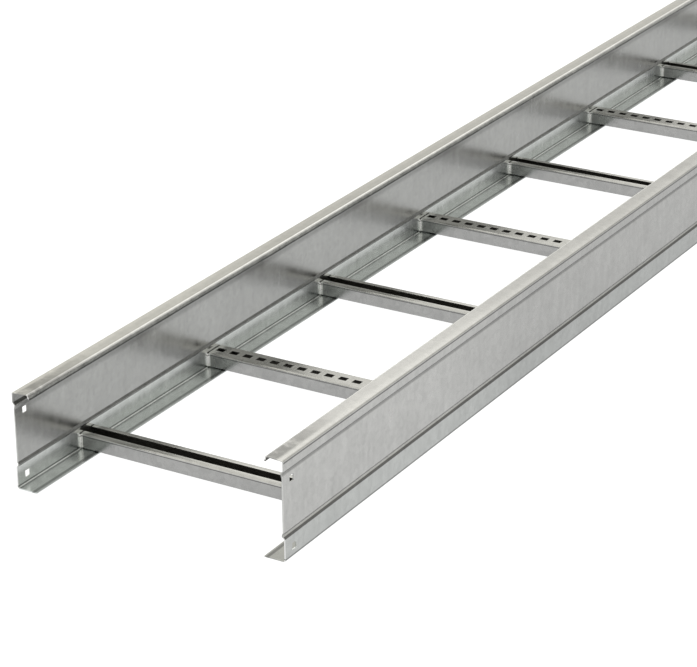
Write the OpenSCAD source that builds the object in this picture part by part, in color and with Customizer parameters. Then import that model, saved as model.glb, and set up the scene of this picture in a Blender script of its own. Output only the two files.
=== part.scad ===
// Cable ladder section: two roll-formed side rails and ten welded C-rungs of galvanised steel.
// The origin is on the floor under the middle. Y runs along the ladder, X across it, Z up.
// The rungs are one profile, turned over from each to the next: slot up, then perforated back up.

/* [Ladder] */
// Length of the section
ladder_length = 3000; // [2800:50:3600]
// Width over the outer faces of the side rails
ladder_width = 400; // [300:10:600]
// Centre distance of the rungs
rung_pitch = 300; // [250:5:310]

/* [Side rails] */
// Height of a side rail, up to the fold of its lip
rail_height = 136; // [125:1:160]
// Thickness of the rail sheet
rail_sheet = 1.5; // [1.2:0.1:2]
// Inside radius of the rail's main bends
rail_bend = 1.2; // [0.5:0.1:1.8]
// Width of the top flange, from the outer face to the fold of its lip
top_flange = 24.5; // [18:0.5:32]
// Rise of the top flange from the outer face to the fold of its lip
top_flange_rise = 1.5; // [0:0.5:3]
// Length of the lip under the top flange's inner edge
lip_length = 7; // [4:0.5:8]
// Angle that the lip is folded through
lip_angle = 75; // [60:5:90]
// Width of the bottom flange
bottom_flange = 30; // [26:1:45]

/* [Rail beads] */
// How far the web between the beads sits inside the outer faces
web_inset = 1.8; // [1:0.1:2]
// Inside radius of the bends in the beads
bead_bend = 0.8; // [0.5:0.1:1]
// Distance of the upper bead below the rail's top outer corner
upper_bead_drop = 18; // [15:1:24]
// Depth of the upper bead from the outer face
upper_bead_depth = 3.3; // [2.8:0.1:3.8]
// Height of the upper bead's upper slope
upper_bead_rise = 4; // [3.5:0.5:6]
// Height of the upper bead's lower slope
upper_bead_fall = 5.5; // [4:0.5:8]
// Height of the lower bead above the underside of the rail
lower_bead_z = 34; // [32:1:40]
// Depth of the lower bead from the outer face
lower_bead_depth = 3.6; // [3.2:0.1:3.8]
// Height of the lower bead's upper slope
lower_bead_rise = 4; // [3:0.5:5]
// Height of the lower bead's lower slope
lower_bead_fall = 3.5; // [3:0.5:5]

/* [Coupler holes] */
// Side of the square holes for coupler bolts
coupler_hole = 9; // [7:0.5:11]
// Distance of the coupler holes from the end of the rail
coupler_inset = 20; // [12:1:30]
// Distance of the upper coupler hole below the top of the rail
coupler_drop = 32; // [32:1:45]
// Height of the lower coupler hole above the underside of the rail
coupler_rise = 14.5; // [10:0.5:20]

/* [Rungs] */
// Width of a rung along the ladder
rung_width = 34; // [28:1:42]
// Height of a rung
rung_height = 21.5; // [18:0.5:24]
// Thickness of the rung sheet
rung_sheet = 1.5; // [1.2:0.1:2]
// Inside radius of the rung's bends
rung_bend = 1; // [0.6:0.1:1.6]
// Width of the open slot between a rung's lips
rung_slot = 16; // [10:0.5:20]
// Height of a rung's underside above the bottom flanges
rung_gap = 0.1; // [0:0.1:1]

/* [Rung perforation] */
// Length of a perforation across the ladder
perforation_length = 12; // [8:0.5:14]
// Width of a perforation along the ladder
perforation_width = 9; // [5:0.5:11]
// Centre distance of the perforations
perforation_pitch = 22; // [18:0.5:28]
// Least solid back between the last perforation and the rung's end
perforation_margin = 4; // [3:0.5:10]

/* [Welds] */
// Leg of the weld fillets at the rung ends
weld_leg = 3; // [2:0.1:4]
// Radius of the round start and stop of a weld
weld_blob = 2; // [1.5:0.1:2.2]

/* [Hidden] */
$fn = 48;
rung_count = 10;
bend_step = 9;
rung_length = ladder_width - 2 * (rail_sheet + rail_bend);
rung_z = rail_sheet + rung_gap;
perforations = floor((rung_length - 2 * perforation_margin - perforation_length) / perforation_pitch) + 1;
weld_end = rail_bend + weld_blob;
rail_colour = [0.70, 0.71, 0.70];
rung_colour = [0.74, 0.74, 0.71];

// Unit vector from a to b
function dir(a, b) = (b - a) / norm(b - a);
// A vector turned a quarter to the left
function left(v) = [-v[1], v[0]];
// Signed angle from a to b
function turn(a, b) = atan2(a[0] * b[1] - a[1] * b[0], a * b);
// Length that a bend takes from each of the flats beside it
function setback(r, a, b) = r * tan(abs(turn(a, b)) / 2);
// Y of a rung's middle
function rung_y(i) = (i - (rung_count + 1) / 2) * rung_pitch;

// Edge of a bent sheet along one of its faces: side is 1 for the left face and -1 for the right one
function face(pts, radii, t, side) =
    let (n = len(pts), d = [for (i = [0:n - 2]) dir(pts[i], pts[i + 1])])
    concat(
        [pts[0] + side * t / 2 * left(d[0])],
        [for (i = [1:n - 2])
            let (a = d[i - 1], b = d[i], r = radii[i - 1], s = sign(turn(a, b)))
            let (centre = pts[i] - setback(r, a, b) * a + s * r * left(a))
            let (steps = ceil(abs(turn(a, b)) / bend_step))
            for (k = [0:steps])
                let (w = atan2(-s * left(a)[1], -s * left(a)[0]) + turn(a, b) * k / steps)
                centre + (r - s * side * t / 2) * [cos(w), sin(w)]],
        [pts[n - 1] + side * t / 2 * left(d[n - 2])]);

// Section of a folded sheet about the middle line through pts, with one bend radius for each corner
module folded_sheet(pts, radii, t) {
    right_face = face(pts, radii, t, -1);
    polygon(concat(face(pts, radii, t, 1), [for (i = [len(right_face) - 1:-1:0]) right_face[i]]));
}

// Section of the left rail: x inward from the outer face, y up from the underside
module rail_section() {
    h = rail_sheet / 2;
    main = rail_bend + h;
    bead = bead_bend + h;
    top = rail_height - top_flange_rise;
    upper = top - upper_bead_drop;
    web = h + web_inset;
    fold = [top_flange, rail_height - h];
    folded_sheet([
        fold + lip_length * [cos(lip_angle), -sin(lip_angle)],
        fold,
        [h, top - h],
        [h, upper + upper_bead_rise],
        [h + upper_bead_depth, upper],
        [web, upper - upper_bead_fall],
        [web, lower_bead_z + lower_bead_rise],
        [h + lower_bead_depth, lower_bead_z],
        [h, lower_bead_z - lower_bead_fall],
        [h, h],
        [bottom_flange, h]
    ], [main, main, bead, bead, bead, bead, bead, bead, main], rail_sheet);
}

// Square holes for coupler bolts, two near each end of a rail
module coupler_holes() {
    for (end = [-1, 1], z = [coupler_rise, rail_height - coupler_drop])
        translate([rail_sheet / 2, end * (ladder_length / 2 - coupler_inset), z])
            cube([6 * rail_sheet, coupler_hole, coupler_hole], center = true);
}

module side_rail() {
    translate([-ladder_width / 2, 0, 0]) difference() {
        rotate([90, 0, 0]) linear_extrude(height = ladder_length, center = true) rail_section();
        coupler_holes();
    }
}

// Section of a rung with its slot up: x along the ladder, y up from the rung's underside
module rung_section() {
    h = rung_sheet / 2;
    side = rung_width / 2 - h;
    r = rung_bend + h;
    folded_sheet([
        [-rung_slot / 2, rung_height - h],
        [-side, rung_height - h],
        [-side, h],
        [side, h],
        [side, rung_height - h],
        [rung_slot / 2, rung_height - h]
    ], [r, r, r, r], rung_sheet);
}

// Row of holes along the rung's back
module perforation() {
    for (i = [0:perforations - 1])
        translate([(i - (perforations - 1) / 2) * perforation_pitch, 0, rung_sheet / 2])
            cube([perforation_length, perforation_width, 3 * rung_sheet], center = true);
}

// Fillet weld up one side wall of a rung, from its end to the rail's web
module weld() {
    top = rung_height - weld_end;
    translate([rung_length / 2 + rail_bend, rung_width / 2, 0]) intersection() {
        union() {
            translate([0, 0, weld_end]) cylinder(r = weld_leg, h = top - weld_end);
            for (z = [weld_end, top]) translate([0, weld_leg / 4, z]) sphere(r = weld_blob);
        }
        translate([-2 * weld_leg, -rung_sheet / 2, 0]) cube([2 * weld_leg, 4 * weld_leg, rung_height]);
    }
}

// A rung with its slot up, standing on its underside
module channel_rung() {
    difference() {
        rotate([90, 0, 90]) linear_extrude(height = rung_length, center = true) rung_section();
        perforation();
    }
    for (x = [0, 1], y = [0, 1]) mirror([x, 0, 0]) mirror([0, y, 0]) weld();
}

// Rung i in its place: odd ones have the slot up, even ones the perforated back
module rung(i) {
    translate([0, rung_y(i), rung_z])
        if (i % 2 == 1) channel_rung();
        else translate([0, 0, rung_height]) mirror([0, 0, 1]) channel_rung();
}

module left_rail() {
    color(rail_colour) side_rail();
}
module right_rail() {
    color(rail_colour) mirror([1, 0, 0]) side_rail();
}
module rung_1() {
    color(rung_colour) rung(1);
}
module rung_2() {
    color(rung_colour) rung(2);
}
module rung_3() {
    color(rung_colour) rung(3);
}
module rung_4() {
    color(rung_colour) rung(4);
}
module rung_5() {
    color(rung_colour) rung(5);
}
module rung_6() {
    color(rung_colour) rung(6);
}
module rung_7() {
    color(rung_colour) rung(7);
}
module rung_8() {
    color(rung_colour) rung(8);
}
module rung_9() {
    color(rung_colour) rung(9);
}
module rung_10() {
    color(rung_colour) rung(10);
}

left_rail();
right_rail();
rung_1();
rung_2();
rung_3();
rung_4();
rung_5();
rung_6();
rung_7();
rung_8();
rung_9();
rung_10();
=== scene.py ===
import math
import bpy
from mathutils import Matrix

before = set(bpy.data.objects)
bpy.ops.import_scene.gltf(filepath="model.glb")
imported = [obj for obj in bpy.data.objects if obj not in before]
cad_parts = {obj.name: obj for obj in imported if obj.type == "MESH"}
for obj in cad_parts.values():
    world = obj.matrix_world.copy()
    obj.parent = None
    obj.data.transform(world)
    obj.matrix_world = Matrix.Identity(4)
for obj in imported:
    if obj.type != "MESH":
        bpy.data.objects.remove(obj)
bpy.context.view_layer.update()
print("frame loaded:", len(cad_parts), "nodes")

cameraView = {
    "place": (1.73920, -3.90039, 1.52045),
    "turnDegrees": (66.7691, 0.6139, 30.8311),
    "lens": 139.109,
    "sensor": 36.0,
    "farEnd": 100.0,
}
studio = {
    "floorSize": 60.0,
    "floorHeight": -0.0006,                 # just clear of the rails' undersides
    "floorWhite": 0.30,
    "floorGlow": 0.96,                      # what the camera sees
    "floorBounce": 0.52,                    # what the metal mirrors
    "ceilingTint": (1.0, 0.988, 0.94),
    "ceilingGlow": 0.72,                    # plain part of the ceiling
    "softboxDirection": (-0.35, 0.80, 0.50),
    "softboxWidth": (0.70, 0.97),           # cosines where the soft edge starts and ends
    "softboxGlow": 0.22,
    "flagDirection": (0.52, 0.72, 0.46),    # dark board on the right
    "flagWidth": (0.86, 0.97),
    "flagHold": 0.15,                       # share of the light that it takes away
    "lampPlace": (-2.0, 4.5, 3.6),
    "lampTurnDegrees": (-55, 0, 20),
    "lampSize": (3.0, 1.5),
    "lampPower": 4.0,
}


def addCamera():
    bpy.ops.object.camera_add(location=cameraView["place"])
    camera = bpy.context.object
    camera.name = "viewCamera"
    camera.rotation_euler = [math.radians(a) for a in cameraView["turnDegrees"]]
    camera.data.lens = cameraView["lens"]
    camera.data.sensor_width = cameraView["sensor"]
    camera.data.clip_end = cameraView["farEnd"]
    bpy.context.scene.camera = camera


def addFloor():
    bpy.ops.mesh.primitive_plane_add(size=studio["floorSize"], location=(0, 0, studio["floorHeight"]))
    floor = bpy.context.object
    floor.name = "studioFloor"
    paint = bpy.data.materials.new("paleFloor")
    paint.use_nodes = True
    shader = paint.node_tree.nodes["Principled BSDF"]
    shader.inputs["Base Color"].default_value = (studio["floorWhite"],) * 3 + (1,)
    shader.inputs["Roughness"].default_value = 0.9
    shader.inputs["Emission Color"].default_value = (1, 1, 1, 1)
    path = paint.node_tree.nodes.new("ShaderNodeLightPath")
    glow = paint.node_tree.nodes.new("ShaderNodeMapRange")
    glow.inputs["To Min"].default_value = studio["floorBounce"]
    glow.inputs["To Max"].default_value = studio["floorGlow"]
    paint.node_tree.links.new(path.outputs["Is Camera Ray"], glow.inputs["Value"])
    paint.node_tree.links.new(glow.outputs["Result"], shader.inputs["Emission Strength"])
    floor.data.materials.append(paint)


# soft round patch of the room, 0 outside and 1 in its middle
def roomPatch(nodes, links, place, direction, width):
    size = math.sqrt(sum(v * v for v in direction))
    dot = nodes.new("ShaderNodeVectorMath")
    dot.operation = "DOT_PRODUCT"
    dot.inputs[1].default_value = [v / size for v in direction]
    links.new(place.outputs["Generated"], dot.inputs[0])
    soft = nodes.new("ShaderNodeMapRange")
    soft.interpolation_type = "SMOOTHSTEP"
    soft.inputs["From Min"].default_value = width[0]
    soft.inputs["From Max"].default_value = width[1]
    links.new(dot.outputs["Value"], soft.inputs["Value"])
    return soft.outputs["Result"]


# one math node whose inputs are numbers or sockets
def calc(nodes, links, kind, a, b):
    node = nodes.new("ShaderNodeMath")
    node.operation = kind
    for socket, value in zip(node.inputs, (a, b)):
        if isinstance(value, (int, float)):
            socket.default_value = value
        else:
            links.new(value, socket)
    return node.outputs[0]


def lightRoom():
    world = bpy.data.worlds.new("studioRoom")
    bpy.context.scene.world = world
    world.use_nodes = True
    nodes, links = world.node_tree.nodes, world.node_tree.links
    place = nodes.new("ShaderNodeTexCoord")
    box = roomPatch(nodes, links, place, studio["softboxDirection"], studio["softboxWidth"])
    flag = roomPatch(nodes, links, place, studio["flagDirection"], studio["flagWidth"])
    glow = calc(nodes, links, "MULTIPLY", box, studio["softboxGlow"])
    glow = calc(nodes, links, "ADD", glow, studio["ceilingGlow"])
    hold = calc(nodes, links, "MULTIPLY", flag, studio["flagHold"])
    hold = calc(nodes, links, "SUBTRACT", 1.0, hold)
    glow = calc(nodes, links, "MULTIPLY", glow, hold)
    nodes["Background"].inputs["Color"].default_value = studio["ceilingTint"] + (1,)
    links.new(glow, nodes["Background"].inputs["Strength"])
    bpy.ops.object.light_add(type="AREA", location=studio["lampPlace"])
    lamp = bpy.context.object
    lamp.name = "softbox"
    lamp.data.shape = "RECTANGLE"
    lamp.data.size, lamp.data.size_y = studio["lampSize"]
    lamp.data.energy = studio["lampPower"]
    lamp.rotation_euler = [math.radians(a) for a in studio["lampTurnDegrees"]]


addCamera()
addFloor()
lightRoom()
bpy.context.scene.view_settings.view_transform = "Standard"
print("camera, floor and lights placed")


# node group whose inputs are (label, kind, value) and whose outputs are (label, kind)
def newGroup(name, inputs, outputs):
    group = bpy.data.node_groups.new(name, "ShaderNodeTree")
    for label, kind, value in inputs:
        socket = group.interface.new_socket(label, in_out="INPUT", socket_type=kind)
        if value is not None:
            socket.default_value = value
    for label, kind in outputs:
        group.interface.new_socket(label, in_out="OUTPUT", socket_type=kind)
    into = group.nodes.new("NodeGroupInput")
    out = group.nodes.new("NodeGroupOutput")
    return group, into, out


def addNoise(tree, vector, scale, detail, stretch=(1, 1, 1), shift=(0, 0, 0)):
    mapping = tree.nodes.new("ShaderNodeMapping")
    mapping.inputs["Scale"].default_value = stretch
    mapping.inputs["Location"].default_value = shift
    tree.links.new(vector, mapping.inputs["Vector"])
    noise = tree.nodes.new("ShaderNodeTexNoise")
    noise.inputs["Scale"].default_value = scale
    noise.inputs["Detail"].default_value = detail
    noise.inputs["Roughness"].default_value = 0.6
    tree.links.new(mapping.outputs[0], noise.inputs["Vector"])
    return noise.outputs["Fac"]


# smooth step from one value to another while `value` goes from low to high
def remap(tree, value, low, high, toLow=0.0, toHigh=1.0):
    node = tree.nodes.new("ShaderNodeMapRange")
    node.interpolation_type = "SMOOTHSTEP"
    for label, number in (("From Min", low), ("From Max", high)):
        if isinstance(number, (int, float)):
            node.inputs[label].default_value = number
        else:
            tree.links.new(number, node.inputs[label])
    node.inputs["To Min"].default_value = toLow
    node.inputs["To Max"].default_value = toHigh
    tree.links.new(value, node.inputs["Value"])
    return node.outputs["Result"]


# the same in a node tree; kinds with one input leave b out
def maths(tree, kind, a, b=0.0):
    return calc(tree.nodes, tree.links, kind, a, b)


zinc = {
    "cloudScale": 22.0,
    "streakScale": 55.0,
    "streakStretch": (1.0, 1.5, 0.30),      # drawn out up the rail
    "spangleScale": 150.0,
    "grainScale": 420.0,
    "grainTone": 0.10,
    "roughParts": (0.5, 0.4),               # streak, cloud
    "heightParts": (0.7, 0.25, 0.12),       # streak, grain, spangle
}


# clouds, streaks, spangle and fine grain of a hot-dip zinc coat: a tone round 1, a swing of
# roughness round 0 and a height
def makeZincGroup():
    group, into, out = newGroup("zincCoat", [
        ("Vector", "NodeSocketVector", None),
        ("Cloud", "NodeSocketFloat", 0.1),
        ("Spangle", "NodeSocketFloat", 0.06),
        ("Streak", "NodeSocketFloat", 0.08),
    ], [("Tone", "NodeSocketFloat"), ("Rough", "NodeSocketFloat"), ("Height", "NodeSocketFloat")])
    place = into.outputs["Vector"]
    cloud = addNoise(group, place, zinc["cloudScale"], 5.0)
    fine = addNoise(group, place, zinc["grainScale"], 2.0)
    streak = addNoise(group, place, zinc["streakScale"], 5.0, stretch=zinc["streakStretch"])
    cells = group.nodes.new("ShaderNodeTexVoronoi")
    cells.inputs["Scale"].default_value = zinc["spangleScale"]
    group.links.new(place, cells.inputs["Vector"])
    split = group.nodes.new("ShaderNodeSeparateColor")
    group.links.new(cells.outputs["Color"], split.inputs[0])
    tone = 1.0
    for source, amount in ((cloud, "Cloud"), (streak, "Streak"), (split.outputs[0], "Spangle")):
        swing = maths(group, "SUBTRACT", source, 0.5)
        swing = maths(group, "MULTIPLY", swing, into.outputs[amount])
        swing = maths(group, "MULTIPLY", swing, 2.0)
        tone = maths(group, "ADD", swing, tone)
    grain = maths(group, "MULTIPLY", maths(group, "SUBTRACT", fine, 0.5), zinc["grainTone"])
    tone = maths(group, "ADD", tone, grain)
    rough = 0.0
    for source, amount in zip((streak, cloud), zinc["roughParts"]):
        swing = maths(group, "MULTIPLY", maths(group, "SUBTRACT", source, 0.5), amount)
        rough = maths(group, "ADD", rough, swing)
    height = 0.0
    for source, amount in zip((streak, fine, split.outputs[1]), zinc["heightParts"]):
        height = maths(group, "ADD", height, maths(group, "MULTIPLY", source, amount))
    group.links.new(tone, out.inputs["Tone"])
    group.links.new(rough, out.inputs["Rough"])
    group.links.new(height, out.inputs["Height"])
    return group


# mask that is 1 while a value lies between two others, with soft ends
def makeBandGroup():
    group, into, out = newGroup("softBand", [
        ("Value", "NodeSocketFloat", 0.0),
        ("From", "NodeSocketFloat", 0.0),
        ("To", "NodeSocketFloat", 1.0),
        ("Soft", "NodeSocketFloat", 0.001),
    ], [("Mask", "NodeSocketFloat")])
    value, soft = into.outputs["Value"], into.outputs["Soft"]
    low = maths(group, "SUBTRACT", into.outputs["From"], soft)
    high = maths(group, "ADD", into.outputs["To"], soft)
    up = remap(group, value, low, into.outputs["From"])
    down = remap(group, value, into.outputs["To"], high, 1.0, 0.0)
    group.links.new(maths(group, "MULTIPLY", up, down), out.inputs["Mask"])
    return group


zincCoat = makeZincGroup()
softBand = makeBandGroup()


# one metal material: its tree, its shader, the place on the ladder, the distance across from the
# ladder's middle and which way a face looks
class Finish:
    def __init__(self, name):
        self.material = bpy.data.materials.new(name)
        self.material.use_nodes = True
        self.tree = self.material.node_tree
        self.shader = self.tree.nodes["Principled BSDF"]
        self.shader.inputs["Metallic"].default_value = 1.0
        coordinates = self.tree.nodes.new("ShaderNodeTexCoord")
        self.place = coordinates.outputs["Object"]
        split = self.tree.nodes.new("ShaderNodeSeparateXYZ")
        self.tree.links.new(self.place, split.inputs[0])
        self.x, self.y, self.z = split.outputs
        self.across = maths(self.tree, "ABSOLUTE", self.x)
        facing = self.tree.nodes.new("ShaderNodeSeparateXYZ")
        self.tree.links.new(coordinates.outputs["Normal"], facing.inputs[0])
        self.facingX = facing.outputs[0]

    def band(self, value, low, high, soft):
        node = self.tree.nodes.new("ShaderNodeGroup")
        node.node_tree = softBand
        self.tree.links.new(value, node.inputs["Value"])
        node.inputs["From"].default_value = low
        node.inputs["To"].default_value = high
        node.inputs["Soft"].default_value = soft
        return node.outputs["Mask"]

    # 1 on faces that look away from the ladder's middle, 0 on those that look inward
    def outward(self):
        away = maths(self.tree, "MULTIPLY", self.facingX, maths(self.tree, "SIGN", self.x))
        return maths(self.tree, "GREATER_THAN", away, 0.02)

    def coat(self, cloud, spangle, streak):
        node = self.tree.nodes.new("ShaderNodeGroup")
        node.node_tree = zincCoat
        self.tree.links.new(self.place, node.inputs["Vector"])
        for label, value in (("Cloud", cloud), ("Spangle", spangle), ("Streak", streak)):
            node.inputs[label].default_value = value
        return node

    def times(self, a, b):
        return maths(self.tree, "MULTIPLY", a, b)

    # tone that is `factor` where the mask is 1, and 1 elsewhere
    def shade(self, tone, mask, factor):
        part = maths(self.tree, "ADD", self.times(mask, factor - 1.0), 1.0)
        return self.times(tone, part)

    # first colour where the mask is 0, second where it is 1
    def mix(self, mask, first, second):
        node = self.tree.nodes.new("ShaderNodeMix")
        node.data_type = "RGBA"
        self.tree.links.new(mask, node.inputs[0])
        for socket, value in ((node.inputs[6], first), (node.inputs[7], second)):
            if isinstance(value, tuple):
                socket.default_value = value + (1,)
            else:
                self.tree.links.new(value, socket)
        return node.outputs[2]

    def paint(self, colour, tone):
        scale = self.tree.nodes.new("ShaderNodeVectorMath")
        scale.operation = "SCALE"
        self.tree.links.new(colour, scale.inputs[0])
        self.tree.links.new(tone, scale.inputs["Scale"])
        self.tree.links.new(scale.outputs[0], self.shader.inputs["Base Color"])

    # roughness that swings round a middle value within the limits of a metal coat
    def gloss(self, middle, swing):
        rough = maths(self.tree, "ADD", swing, middle)
        rough = maths(self.tree, "MAXIMUM", rough, 0.12)
        rough = maths(self.tree, "MINIMUM", rough, 0.7)
        self.tree.links.new(rough, self.shader.inputs["Roughness"])

    def relief(self, height, strength):
        bump = self.tree.nodes.new("ShaderNodeBump")
        bump.inputs["Strength"].default_value = strength
        bump.inputs["Distance"].default_value = 0.0008
        self.tree.links.new(height, bump.inputs["Height"])
        self.tree.links.new(bump.outputs[0], self.shader.inputs["Normal"])


rail = {
    "outsideColour": (0.645, 0.648, 0.640),
    "outsideBandColour": (0.650, 0.668, 0.660),
    # inner faces are painted darker than the outer ones: painted shade between the rails
    "insideShadeColour": (0.530, 0.537, 0.528),
    "flangeColour": ((0.515, 0.510, 0.474), (0.560, 0.557, 0.540)),      # left and right rail
    # near white along the lip's fold: painted highlight
    "lipHighlightColour": (0.960, 0.960, 0.940),
    "lowBandColour": (0.805, 0.832, 0.818),
    "bottomColour": ((0.630, 0.660, 0.652), (0.370, 0.375, 0.355)),
    "roughness": 0.23,
    "roughSwing": 0.34,
    "relief": 0.10,
    "coat": (0.13, 0.040, 0.13),            # cloud, spangle, streak
    "topFlangeFrom": 0.1334,                # heights above the floor
    "lipFrom": 0.1308,
    "lowBandTo": 0.0300,
    "bottomFlangeTo": 0.0018,
    "webInside": 0.1972,                    # distances across from the ladder's middle
    "lipFold": (0.1725, 0.1768),
    # top flange painted lighter towards its outer bend: painted highlight
    "outerBend": (0.1860, 0.1965),
    "outerBendHighlightTone": 1.16,
    "underLipTo": 0.1296,                   # painted shadow on the lip's lower part and the flange strip below it
    "underLipShadowTone": 0.52,
    # painted shade, dark reflections and highlights in lines along the folds and beads: from and to
    # height, soft edge, tone
    "outsideShadeLines": (
        (0.0303, 0.0328, 0.0004, 0.30),     # painted shade in the lower bead
        (0.0376, 0.0381, 0.0005, 0.60),     # painted shade at its upper fold
        (0.1150, 0.1182, 0.0030, 0.56),     # painted shade in the upper bead
        (0.1305, 0.1320, 0.0006, 0.36),     # painted dark reflection under the top bend
        (0.0026, 0.0036, 0.0005, 0.36),     # painted dark reflection on the bottom bend
    ),
    "insideShadeAndHighlightLines": (
        (0.0332, 0.0380, 0.0008, 0.66),     # painted shade in the lower bead
        (0.0296, 0.0322, 0.0005, 1.22),     # painted highlight on its lower slope
        (0.0031, 0.0045, 0.0005, 0.36),     # painted shade in the bend to the bottom flange
        (0.0019, 0.0026, 0.0003, 1.14),     # painted highlight beside that bend
        (0.1080, 0.1300, 0.0070, 0.74),     # painted shadow under the lip
    ),
    # handling marks on the top flanges near the ladder's first end
    "wornReach": (-1.47, -1.34),
    "wornInset": (0.1895, 0.1945),
    "wornScale": 38.0,
    "wornSpots": (0.26, 0.56),
    "wornTone": 0.54,
    # the outer face is a little darker away from that end
    "darkerFrom": (-1.15, -0.85),
    "darkerTone": 0.86,
    "cutEnd": 1.4994,
    "cutEndTone": 1.4,
}


def makeRailFinish():
    f = Finish("railZinc")
    coat = f.coat(*rail["coat"])
    outer = f.outward()
    inner = maths(f.tree, "SUBTRACT", 1.0, outer)
    high = f.band(f.z, rail["topFlangeFrom"], 0.2, 0.0006)
    low = f.band(f.z, -0.01, rail["lowBandTo"], 0.0010)
    flat = f.times(f.band(f.z, -0.01, rail["bottomFlangeTo"], 0.0005),
                   f.band(f.across, 0.0, rail["webInside"], 0.0004))
    fold = f.band(f.across, *rail["lipFold"], 0.0003)
    # painted highlight along the lip's fold
    lip = f.times(fold, f.band(f.z, rail["lipFrom"], 0.2, 0.0006))
    right = remap(f.tree, f.x, -0.05, 0.05)
    # faces that look inward take the darker colour, painted shade between the rails
    colour = f.mix(outer, rail["insideShadeColour"], rail["outsideColour"])
    colour = f.mix(low, colour, f.mix(outer, rail["lowBandColour"], rail["outsideBandColour"]))
    colour = f.mix(flat, colour, f.mix(right, *rail["bottomColour"]))
    colour = f.mix(high, colour, f.mix(right, *rail["flangeColour"]))
    colour = f.mix(lip, colour, rail["lipHighlightColour"])
    tone = coat.outputs["Tone"]
    # painted shade, dark reflections and highlights in lines along the folds and beads
    for side, paintedLines in ((outer, rail["outsideShadeLines"]), (inner, rail["insideShadeAndHighlightLines"])):
        for start, stop, soft, factor in paintedLines:
            tone = f.shade(tone, f.times(side, f.band(f.z, start, stop, soft)), factor)
    # painted highlight on the top flange towards its outer bend
    bend = remap(f.tree, f.across, *rail["outerBend"])
    tone = f.shade(tone, f.times(high, bend), rail["outerBendHighlightTone"])
    reach = remap(f.tree, f.y, *rail["wornReach"], 1.0, 0.0)
    inset = remap(f.tree, f.across, *rail["wornInset"], 1.0, 0.0)
    worn = addNoise(f.tree, f.place, rail["wornScale"], 4.0, shift=(3, 1, 2))
    spots = remap(f.tree, worn, *rail["wornSpots"])
    tone = f.shade(tone, f.times(f.times(high, inset), f.times(reach, spots)), rail["wornTone"])
    # painted shadow on the lip's lower part and the flange strip under the lip
    underLip = f.times(fold, f.band(f.z, 0.0, rail["underLipTo"], 0.0006))
    tone = f.shade(tone, underLip, rail["underLipShadowTone"])
    darker = remap(f.tree, f.y, *rail["darkerFrom"])
    tone = f.shade(tone, f.times(outer, darker), rail["darkerTone"])
    ends = f.band(maths(f.tree, "ABSOLUTE", f.y), rail["cutEnd"], 2.0, 0.0002)
    tone = f.shade(tone, ends, rail["cutEndTone"])
    f.paint(colour, tone)
    f.gloss(rail["roughness"], f.times(coat.outputs["Rough"], rail["roughSwing"]))
    f.relief(coat.outputs["Height"], rail["relief"])
    return f.material


rung = {
    "colour": (0.530, 0.532, 0.528),
    "topColour": (0.570, 0.568, 0.545),
    # inside of the channel painted near black: painted shade
    "insideShadeColour": (0.095, 0.090, 0.080),
    # the weld bead's own lighter colour, raised to near white as a painted highlight
    "weldAndHighlightColour": (0.95, 0.95, 0.93),
    "roughness": 0.26,
    "roughSwing": 0.34,
    "insideRough": 0.35,
    "relief": 0.12,
    "coat": (0.14, 0.060, 0.08),            # cloud, spangle, streak
    "count": 10,
    "pitch": 0.300,
    "insideHalf": 0.0157,                   # half the width between the side walls
    "floorHeight": 0.0028,                  # heights above the floor
    "lipHeight": 0.0219,
    "topFrom": 0.0222,
    "wallHalf": 0.0160,                     # distance along the ladder from the rung's middle
    "shoulder": (0.0196, 0.0205),           # painted shade line below the upper bend
    "shoulderShadeTone": 0.42,
    "bend": (0.0213, 0.0227),               # painted highlight on the upper bend
    "bendHalf": 0.0148,
    "bendHighlightTone": 1.35,
    "slotRimHalf": 0.0100,                  # lighter rim along the slot
    "slotRimTone": 1.22,
    "holePitch": 0.022,
    "holeHalf": (0.0060, 0.0045),
    "haloTone": 1.15,
    "holeEdgeTone": 0.45,
    "weldStart": 0.1946,                    # distance across from the ladder's middle
    "weldHalf": 0.0168,
    "weldRipple": 1.2,
    "nearWeldStart": 0.1880,                    # walls darker towards the weld
    "nearWeldSoft": 0.0350,
    "nearWeldTone": 0.62,
}


# mask round the holes: 1 up to a margin beyond each hole's edges, with soft ends
def holeMask(f, along, margins, soft):
    half = rung["holePitch"] / 2
    shifted = maths(f.tree, "ADD", f.x, 50 * rung["holePitch"])
    fromHole = maths(f.tree, "SUBTRACT", half, maths(f.tree, "PINGPONG", shifted, half))
    wide, deep = [size + margin for size, margin in zip(rung["holeHalf"], margins)]
    return f.times(f.band(fromHole, -1.0, wide, soft[0]), f.band(along, -1.0, deep, soft[1]))


# weld beads have a ripple of their own on top of the coat's relief
def rungRelief(f, coat, weld):
    ripple = f.tree.nodes.new("ShaderNodeTexWave")
    ripple.bands_direction = "Z"
    ripple.inputs["Scale"].default_value = 140.0
    ripple.inputs["Distortion"].default_value = 2.0
    f.tree.links.new(f.place, ripple.inputs["Vector"])
    weldHeight = f.times(weld, f.times(ripple.outputs["Fac"], rung["weldRipple"]))
    f.relief(maths(f.tree, "ADD", coat.outputs["Height"], weldHeight), rung["relief"])


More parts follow.
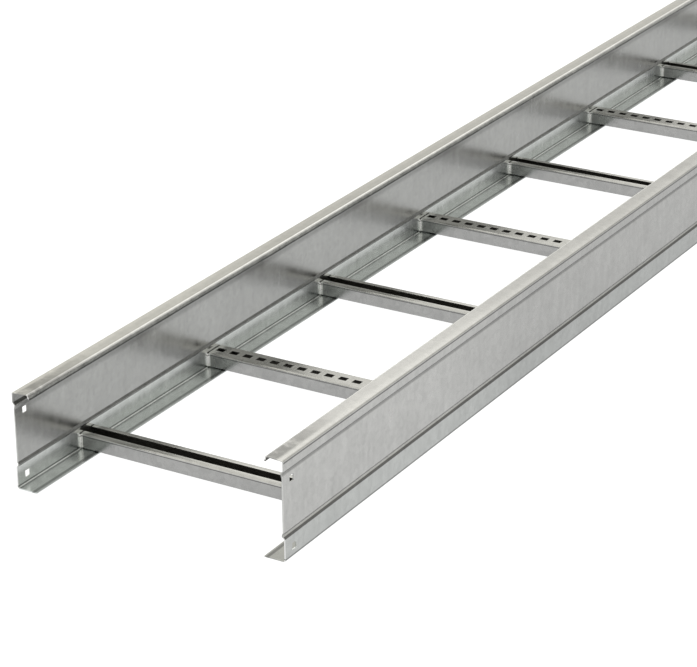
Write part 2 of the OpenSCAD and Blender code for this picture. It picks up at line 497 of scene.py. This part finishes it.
# middle is the rung's place along the ladder
def makeRungFinish(name, middle, slotUp):
    f = Finish(name)
    coat = f.coat(*rung["coat"])
    along = maths(f.tree, "ABSOLUTE", maths(f.tree, "SUBTRACT", f.y, middle))
    inside = f.times(f.band(along, -1.0, rung["insideHalf"], 0.0003),
                     f.band(f.z, rung["floorHeight"], rung["lipHeight"], 0.0002))
    top = f.band(f.z, rung["topFrom"], 1.0, 0.0006)
    walls = f.band(along, rung["wallHalf"], 1.0, 0.0004)
    weld = f.times(f.band(f.across, rung["weldStart"], 1.0, 0.0003),
                   f.band(along, rung["weldHalf"], 1.0, 0.0003))
    colour = f.mix(top, rung["colour"], rung["topColour"])
    # the inside of the channel is painted near black as painted shade
    colour = f.mix(inside, colour, rung["insideShadeColour"])
    # welds painted near white: their own lighter colour plus a painted highlight
    colour = f.mix(weld, colour, rung["weldAndHighlightColour"])
    tone = coat.outputs["Tone"]
    # painted shade line below the upper bend
    shoulder = f.times(f.band(f.z, *rung["shoulder"], 0.0004), walls)
    tone = f.shade(tone, shoulder, rung["shoulderShadeTone"])
    # painted highlight on the upper bend
    bend = f.times(f.band(f.z, *rung["bend"], 0.0003), f.band(along, rung["bendHalf"], 1.0, 0.0004))
    tone = f.shade(tone, bend, rung["bendHighlightTone"])
    if slotUp:
        rim = f.times(top, f.band(along, 0.0, rung["slotRimHalf"], 0.0015))
        tone = f.shade(tone, rim, rung["slotRimTone"])
    else:                                   # darker ring at each hole's edge and a lighter ring round it
        halo = holeMask(f, along, (0.0016, 0.0022), (0.0012, 0.0014))
        near = holeMask(f, along, (0.0004, 0.0006), (0.0010, 0.0010))
        tone = f.shade(tone, f.times(top, halo), rung["haloTone"])
        tone = f.shade(tone, f.times(top, near), rung["holeEdgeTone"])
    nearWeld = f.times(f.band(f.across, rung["nearWeldStart"], rung["weldStart"], rung["nearWeldSoft"]), walls)
    nearWeld = f.times(nearWeld, maths(f.tree, "SUBTRACT", 1.0, weld))
    tone = f.shade(tone, nearWeld, rung["nearWeldTone"])
    f.paint(colour, tone)
    f.gloss(rung["roughness"], maths(f.tree, "ADD", f.times(coat.outputs["Rough"], rung["roughSwing"]),
                                     f.times(inside, rung["insideRough"])))
    rungRelief(f, coat, weld)
    return f.material


# the rungs are spaced evenly about the ladder's middle, and the odd ones have their slot up
railFinish = makeRailFinish()
for name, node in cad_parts.items():
    if name.startswith("rung_"):
        number = int(name.split("_")[1])
        middle = (number - (rung["count"] + 1) / 2) * rung["pitch"]
        finish = makeRungFinish("rungZinc%d" % number, middle, number % 2 == 1)
    else:
        finish = railFinish
    node.data.materials.clear()
    node.data.materials.append(finish)
print("zinc finishes set")
